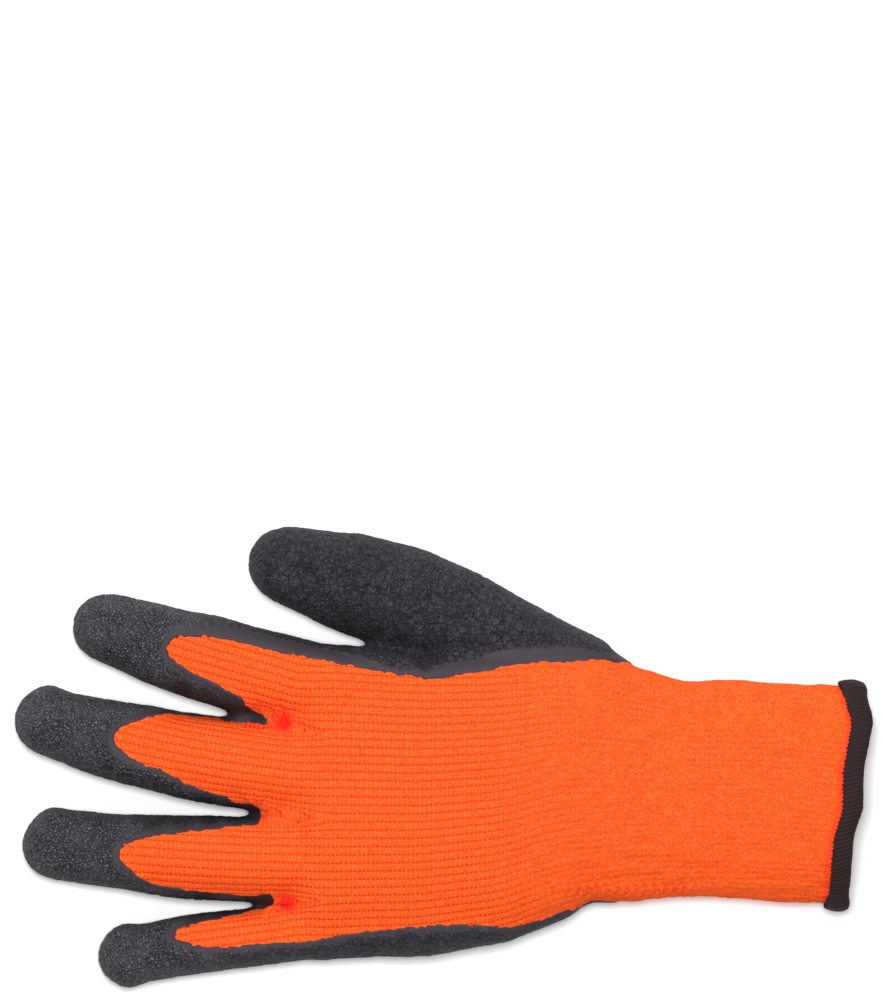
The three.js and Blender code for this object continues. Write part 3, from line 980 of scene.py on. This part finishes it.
DIGITS = ("index_finger", "middle_finger", "ring_finger", "little_finger", "thumb")
HAND_NODES = ["palm_knit", "wrist_knit", *(f"{digit}_knit" for digit in DIGITS)]
COAT_NODES = ["palm_coating", *(f"{digit}_coating" for digit in DIGITS)]


@dataclass
class GloveForm:
    """The glove's outside and inside, with all that its finishes need to know."""

    plan: HandPlan
    voxel: float = 1.0
    smoothing: int = 32
    last_smoothing: int = 2
    mouth: tuple[float, float] = (126.8, -12.5)
    mouth_heading: float = -5.0
    hem_length: float = 6.5
    tucked: float = 3.6
    sway_start: float = 18.0
    coat_reach: float = 0.9
    edge_steps: int = 10
    stitch_scatter: float = 0.38
    ragged_end: float = 4.0
    fuzz_start: float = 8.0
    fuzz_end: float = 48.0
    red_shade_reach: float = 2.3
    crotch_red_shade: float = 1.6
    red_shade_past_hem: float = 2.4
    hem_red_shade: float = 0.6
    pucker_reach: float = 7.0
    pucker_depth: float = 0.55
    pucker_rays: int = 7
    ray_bend: float = 3.0
    ray_share: float = 0.7
    fold_rise: tuple[float, float] = (1.0, 6.0)
    tip_bulge: float = 1.3
    bulge_reach: float = 4.5
    outside: Surface = field(init=False)
    inside: Surface = field(init=False)
    region: np.ndarray = field(init=False)

    def outward(self) -> np.ndarray:
        """Direction in plan out of the mouth."""
        heading = math.radians(self.mouth_heading)
        return np.array([math.cos(heading), math.sin(heading)])

    def past_mouth(self, points: np.ndarray) -> np.ndarray:
        """How far points lie past the mouth."""
        return (points[:, :2] - np.array(self.mouth)) @ self.outward()

    def swayed(self, points: np.ndarray) -> np.ndarray:
        """Points of the cuff and its hem, moved along with the wavy mouth."""
        share = eased(self.past_mouth(points), -self.sway_start, -self.hem_length)
        moved = points.copy()
        moved[:, :2] += self.outward() * (share * self.plan.sway(points[:, 1]))[:, None]
        return moved

    def build(self) -> None:
        """Makes both surfaces and counts their stitches."""
        nodes = [*HAND_NODES, "cuff_knit", *COAT_NODES]
        shell = Surface.around(nodes, self.voxel, self.plan.webs)
        past = self.past_mouth(shell.points)
        open_shell = shell.part((past[shell.quads] < -self.tucked).all(axis=1))
        sheets = open_shell.islands()
        sheets.sort(key=lambda sheet: -np.ptp(sheet.points[:, 0]) * np.ptp(sheet.points[:, 1]))
        coarse, self.inside = sheets[0], sheets[1]
        for sheet in (coarse, self.inside):
            sheet.smooth(self.smoothing)
            self.mark(sheet)
            sheet.points = self.swayed(sheet.points)
        regions = self.nearest_coat(coarse)
        self.outside = coarse.finer()
        self.region = np.repeat(regions, 4)
        self.outside.points = self.outside.relaxed(self.outside.points, self.last_smoothing)
        for name, sheet in (("outside", self.outside), ("inside", self.inside)):
            log.info("%s: %d quads", name, len(sheet.quads))

    def coat_tree(self) -> tuple[BVHTree, list[int]]:
        """Search tree over the coating's solids, and which node each of its faces is of."""
        points, faces, owner = gathered([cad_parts[name].data for name in COAT_NODES])
        return BVHTree.FromPolygons([point / MILLIMETRE for point in points], faces), owner

    def nearest_coat(self, surface: Surface) -> np.ndarray:
        """Number of the coating's node that is nearest to each quad."""
        tree, owner = self.coat_tree()
        middles = surface.points[surface.quads].mean(axis=1)
        return np.array([owner[tree.find_nearest(middle)[2]] for middle in middles])

    def coat_depth(self, surface: Surface) -> np.ndarray:
        """How far each point is inside the latex's edge, negative on the bare knit."""
        tree, _ = self.coat_tree()
        away = np.array([tree.find_nearest(point)[3] for point in surface.points])
        coated = away < self.coat_reach
        for patch in self.plan.patches:
            coated = np.where(patch.holds(surface.points), patch.dipped, coated)
        depth = np.zeros(len(surface.points))
        for side, sign in ((coated, 1.0), (~coated, -1.0)):
            others = np.flatnonzero(~side)
            if not len(others):
                continue
            kd = KDTree(len(others))
            for index in others:
                kd.insert(surface.points[index], int(index))
            kd.balance()
            for index in np.flatnonzero(side):
                depth[index] = sign * kd.find(surface.points[index])[2]
        return surface.relaxed(depth[:, None], self.edge_steps)[:, 0] - self.coat_reach / 2.0

    def mark(self, surface: Surface) -> None:
        """Counts stitches and notes where the latex and the fuzz are, and where painted red shade
        goes by the crotches and the hem.
        """
        wale, course = self.plan.knitted(surface.points)
        past_hem = self.past_mouth(surface.points) + self.hem_length
        # Painted red shade on the knit: spots past the crotches and a band beside the hem.
        hem_shade = eased(past_hem, -self.red_shade_past_hem, 0.0) * self.hem_red_shade
        crotch_shade = spots(surface.points, self.plan.red_shade_spots(), self.red_shade_reach) * self.crotch_red_shade
        surface.marks = {
            Mark.DIP: self.coat_depth(surface),
            Mark.WALE: wale,
            Mark.COURSE: course,
            Mark.FUZZ: eased(surface.points[:, 0], self.fuzz_start, self.fuzz_end),
            Mark.RED_SHADE: np.maximum(np.minimum(crotch_shade, 1.0), hem_shade),
        }

    def ragged_depth(self) -> np.ndarray:
        """Distance inside the latex's edge, which steps from stitch to stitch."""
        marks = self.outside.marks
        cells = np.stack([np.floor(marks[Mark.WALE]), np.floor(marks[Mark.COURSE])], axis=1)
        stitch = scattered(cells, 11) - 0.5
        near = 1.0 - eased(np.abs(marks[Mark.DIP]), self.ragged_end / 2.0, self.ragged_end)
        return marks[Mark.DIP] + 2.0 * self.stitch_scatter * stitch * near

    def folds(self) -> np.ndarray:
        """Soft unevenness of the whole glove, outwards in millimetres."""
        points, marks = self.outside.points, self.outside.marks
        total = uneven(points, 26.0, 1, 1.2) + uneven(points, 11.0, 2, 0.7)
        total += self.tip_bulge * spots(points, self.plan.tip_corners(), self.bulge_reach)
        bare = 1.0 - eased(marks[Mark.DIP], -1.5, 0.5)
        for number, crotch in enumerate(self.plan.crotches()):
            offset = points[:, :2] - crotch
            angle = np.arctan2(offset[:, 1], offset[:, 0]) * self.pucker_rays
            rays = np.cos(angle + self.ray_bend * noise(points, 6.0, 20 + number)) * bare
            dent = spots(points, crotch[None], self.pucker_reach) * self.pucker_depth
            total -= dent * (1.0 + self.ray_share * rays)
        return total * eased(points[:, 2], *self.fold_rise)


@dataclass
class KnittedLiner:
    """Seamless liner: the bare knit of the hand, the ribbed cuff and the inside."""

    form: GloveForm
    rib_height: float = 0.16
    cuff_rib_height: float = 0.2
    tuft_size: float = 0.9
    tuft_height: float = 0.16
    lump_size: float = 2.6
    lump_stretch: tuple[float, float, float] = (0.45, 1.0, 1.0)
    lump_height: float = 0.75
    lining_lump_size: float = 1.8
    lining_lump_height: float = 0.5
    sink_depth: float = 0.9
    sink_start: float = 0.2
    sink_end: float = 2.0
    wrist: float = 70.9
    chain_side: float = -40.2
    chain_start: float = 34.0
    chain_end: float = 82.0
    chain_fade: float = 10.0
    chain_pitch: float = 2.9
    chain_width: float = 1.7
    chain_height: float = 1.4

    def chain(self, points: np.ndarray) -> np.ndarray:
        """Height of the twisted rib that runs along the little finger's side of the wrist."""
        aside = (points[:, 1] - self.chain_side) / self.chain_width
        ends = eased(points[:, 0], self.chain_start, self.chain_start + self.chain_fade)
        ends *= 1.0 - eased(points[:, 0], self.chain_end - self.chain_fade, self.chain_end)
        twist = wave(points[:, 0] / self.chain_pitch + 0.3 * np.abs(aside))
        on_back = eased(points[:, 2], 10.0, 14.0)
        return self.chain_height * np.exp(-(aside**2)) * twist * ends * on_back

    def build(self) -> None:
        """Makes the three pieces."""
        surface, ragged = self.form.outside, self.form.ragged_depth()
        points, marks = surface.points, surface.marks
        fuzz = marks[Mark.FUZZ]
        rib = wave(marks[Mark.WALE] - 0.5) - 0.5
        height = self.rib_height + (self.cuff_rib_height - self.rib_height) * fuzz
        lift = rib * height * (1.0 - 0.5 * fuzz) + self.form.folds() + self.chain(points)
        lift += uneven(points, self.tuft_size, 5, self.tuft_height) * (1.0 + fuzz)
        lift += fuzz * uneven(points * self.lump_stretch, self.lump_size, 6, self.lump_height)
        lift -= np.interp(ragged, [self.sink_start, self.sink_end], [0.0, self.sink_depth])
        knitted = Surface(points + surface.normals() * lift[:, None], surface.quads, dict(marks))
        bare = (ragged[surface.quads] < self.sink_end).any(axis=1)
        past_wrist = points[surface.quads].mean(axis=1)[:, 0] > self.wrist
        material = KnitFinish("orange_knit").material()
        knitted.part(bare & ~past_wrist).become("knit_hand", Slot.KNIT, HAND_NODES, material)
        knitted.part(bare & past_wrist).become("knit_cuff", Slot.KNIT, ["cuff_knit"], material)
        lining = self.form.inside
        lumps = uneven(lining.points, self.lining_lump_size, 7, self.lining_lump_height)
        lining.points = lining.points + lining.normals() * lumps[:, None]
        lining.become("lining", Slot.KNIT, HAND_NODES, material)


@dataclass
class LatexCoat:
    """The dipped latex over the palm side, the thumb and the fingertips."""

    form: GloveForm
    lip: float = 0.2
    lip_width: float = 0.6
    sunk: float = 1.2
    sunk_width: float = 1.5
    crinkle_start: float = 1.0
    crinkle_end: float = 3.2
    patch_size: float = 5.0
    patchiness: float = 2.0
    calm_places: tuple[tuple[float, float], ...] = ((22.0, 29.0), (-48.0, 34.0))
    calm_reach: float = 26.0
    calm_width: float = 3.6
    worn_start: float = 52.0
    worn_end: float = 84.0
    steep_end: float = 0.55
    steep_shade: float = 0.3
    gap_shade_reach: float = 5.0
    gap_shade_strength: float = 0.75
    warp: float = 1.1
    warp_size: float = 2.4
    crinkle_size: float = 1.7
    fine_size: float = 1.0
    crinkle_height: float = 0.4

    def build(self) -> None:
        """Makes a piece for the palm and one for each digit."""
        surface, ragged = self.form.outside, self.form.ragged_depth()
        points, marks = surface.points, dict(surface.marks)
        patchy = uneven(points, self.patch_size, 30, self.patchiness)
        calm = spots(points, np.array(self.calm_places), self.calm_reach) * self.calm_width
        crinkle = eased(marks[Mark.DIP] + patchy - calm, self.crinkle_start, self.crinkle_end)
        bends = [noise(points, self.warp_size, seed) for seed in (31, 32, 33)]
        warped = points + self.warp * np.stack(bends, axis=1)
        relief = 0.7 * ridges(warped, self.crinkle_size, 34) ** 1.5
        relief += 0.5 * ridges(warped, self.fine_size, 35) - 0.5
        lift = crinkle * self.crinkle_height * relief + self.form.folds()
        edge = [-self.sunk_width, 0.0, self.lip_width]
        lift += np.interp(ragged, edge, [-self.sunk, 0.0, self.lip])
        marks[Mark.CRINKLE] = crinkle
        # Painted shade: steep sides and spots beside the gaps between the digits are coloured
        # darker.
        steep = 1.0 - eased(np.abs(surface.normals()[:, 2]), 0.0, self.steep_end)
        worn = eased(-points[:, 0], self.worn_start, self.worn_end)
        worn *= 1.0 - self.form.plan.on_thumb(points)
        gap_shade = spots(points, self.form.plan.gap_shade(), self.gap_shade_reach)
        marks[Mark.PAINTED_SHADE] = np.maximum(steep * self.steep_shade, gap_shade * self.gap_shade_strength)
        # Painted shade: the paler wear towards the fingertips is kept off the steep sides.
        marks[Mark.WEAR_AND_SIDE_SHADE] = worn * (1.0 - 0.7 * steep)
        coat = Surface(points + surface.normals() * lift[:, None], surface.quads, marks)
        coat.points[:, 2] = np.maximum(coat.points[:, 2], 0.0)
        dipped = (ragged[surface.quads] > -self.sunk_width).any(axis=1)
        material = LatexFinish().material()
        for number, node in enumerate(COAT_NODES):
            piece = coat.part(dipped & (self.form.region == number))
            piece.become(node.replace("coating", "latex"), Slot.COATING, [node], material)


@dataclass
class Hem:
    """Overlocked band around the mouth."""

    form: GloveForm
    voxel: float = 0.3
    smoothing: int = 30
    flatness: float = 2.6
    half_width: float = 34.0
    pitch: float = 1.25
    wrap_height: float = 0.13
    slant: float = 0.35
    fibre_height: float = 0.14
    lump_height: float = 0.6
    serration: float = 0.45
    end_bulge: float = 0.9
    end_reach: float = 5.0

    def build(self) -> None:
        """Makes the band with its thread wraps."""
        band = Surface.around(["cuff_hem"], self.voxel)
        band.smooth(self.smoothing)
        points = band.points
        out = np.array([*self.form.outward(), 0.0])
        middle = (points.min(axis=0) + points.max(axis=0)) / 2.0
        offset = points - middle
        aside = leftward(out, offset)
        angle = np.arctan2(offset[:, 2] * self.flatness, aside)
        ring = np.linspace(-math.pi, math.pi, 721)
        oval = np.stack([np.cos(ring), np.sin(ring) / self.flatness], axis=1) * self.half_width
        length = walked(oval)
        wraps = round(length[-1] / self.pitch)
        thread = np.interp(angle, ring, length) * wraps / length[-1]
        thread += self.slant * (offset @ out) / self.pitch + uneven(points, 3.0, 40, 0.5)
        wrap = wave(thread - 0.25)
        lift = self.wrap_height * (wrap**0.7 - 0.6) + uneven(points, 0.8, 41, self.fibre_height)
        lift += uneven(points, 7.0, 42, self.lump_height)
        lift += self.end_bulge * (1.0 - eased(self.half_width - np.abs(aside), 0.0, self.end_reach))
        inward = eased(-(offset @ out), 1.8, 3.4)
        band.points = self.form.swayed(points + band.normals() * lift[:, None])
        band.points -= out * (inward * self.serration * (wrap - 0.4))[:, None]
        band.marks[Mark.THREAD] = thread
        band.become("hem_band", Slot.HEM, ["cuff_hem"], HemFinish().material())


@dataclass(frozen=True)
class Studio:
    """Pale floor, soft light and a camera straight above, as in the picture."""

    scale: float = 0.3034
    frame_height: float = 1000.0
    glove_down: float = 255.5
    glove_across: float = -0.5
    lens: float = 250.0
    film: float = 36.0
    widest_height: float = 13.0
    key_place: tuple[float, float, float] = (0.0, 0.14, 1.6)
    key_size: float = 0.4
    key_power: float = 26.0
    side_place: tuple[float, float, float] = (-0.25, 1.1, 0.8)
    side_size: float = 0.6
    side_power: float = 9.0
    world_strength: float = 0.28
    floor_half: float = 3.0
    floor_grain: float = 60.0
    floor_tone: float = 0.9
    floor_pale: float = 0.92

    def build(self) -> None:
        """Makes the floor, the lights and the camera."""
        scene = bpy.context.scene
        scene.view_settings.view_transform = "Standard"
        mesh = bpy.data.meshes.new("floor")
        far = self.floor_half
        corners = [(-far, -far, 0), (far, -far, 0), (far, far, 0), (-far, far, 0)]
        mesh.from_pydata(corners, [], [(0, 1, 2, 3)])
        floor = bpy.data.objects.new("floor", mesh)
        scene.collection.objects.link(floor)
        recipe = Recipe("pale_floor")
        clouds = recipe.grain(self.floor_grain).step(0.3, 0.7)
        tone = recipe.blend(clouds, (self.floor_tone,) * 3, (self.floor_pale,) * 3)
        mesh.materials.append(recipe.finish({"Base Color": tone, "Roughness": 0.9}))
        world = bpy.data.worlds.new("soft_room")
        world.use_nodes = True
        background = world.node_tree.nodes["Background"].inputs
        background["Color"].default_value = (1.0, 1.0, 1.0, 1.0)
        background["Strength"].default_value = self.world_strength
        scene.world = world
        self.panel("key", self.key_place, self.key_size, self.key_power)
        self.panel("side", self.side_place, self.side_size, self.side_power)
        data = bpy.data.cameras.new("camera")
        data.lens = self.lens
        data.sensor_width = self.film
        camera = bpy.data.objects.new("camera", data)
        away = self.frame_height * self.scale * self.lens / self.film + self.widest_height
        middle = (-self.glove_across * self.scale, self.glove_down * self.scale, away)
        camera.location = Vector(middle) * MILLIMETRE
        scene.collection.objects.link(camera)
        scene.camera = camera

    def panel(self, name: str, place: tuple[float, ...], size: float, power: float) -> None:
        """Adds a soft square light that faces the glove.

        Args:
            name: The light's name.
            place: Where it hangs, in metres.
            size: Its side in metres.
            power: Its power in watts.
        """
        data = bpy.data.lights.new(name, "AREA")
        data.size = size
        data.energy = power
        light = bpy.data.objects.new(name, data)
        light.location = place
        light.rotation_mode = "QUATERNION"
        light.rotation_quaternion = (-Vector(place)).to_track_quat("-Z", "Y")
        bpy.context.scene.collection.objects.link(light)


def main() -> None:
    """Builds the glove's pieces and the studio."""
    logging.basicConfig(level=logging.INFO, format="%(message)s")
    Studio().build()
    form = GloveForm(HandPlan())
    form.build()
    KnittedLiner(form).build()
    LatexCoat(form).build()
    Hem(form).build()


if __name__ == "__main__":
    main()
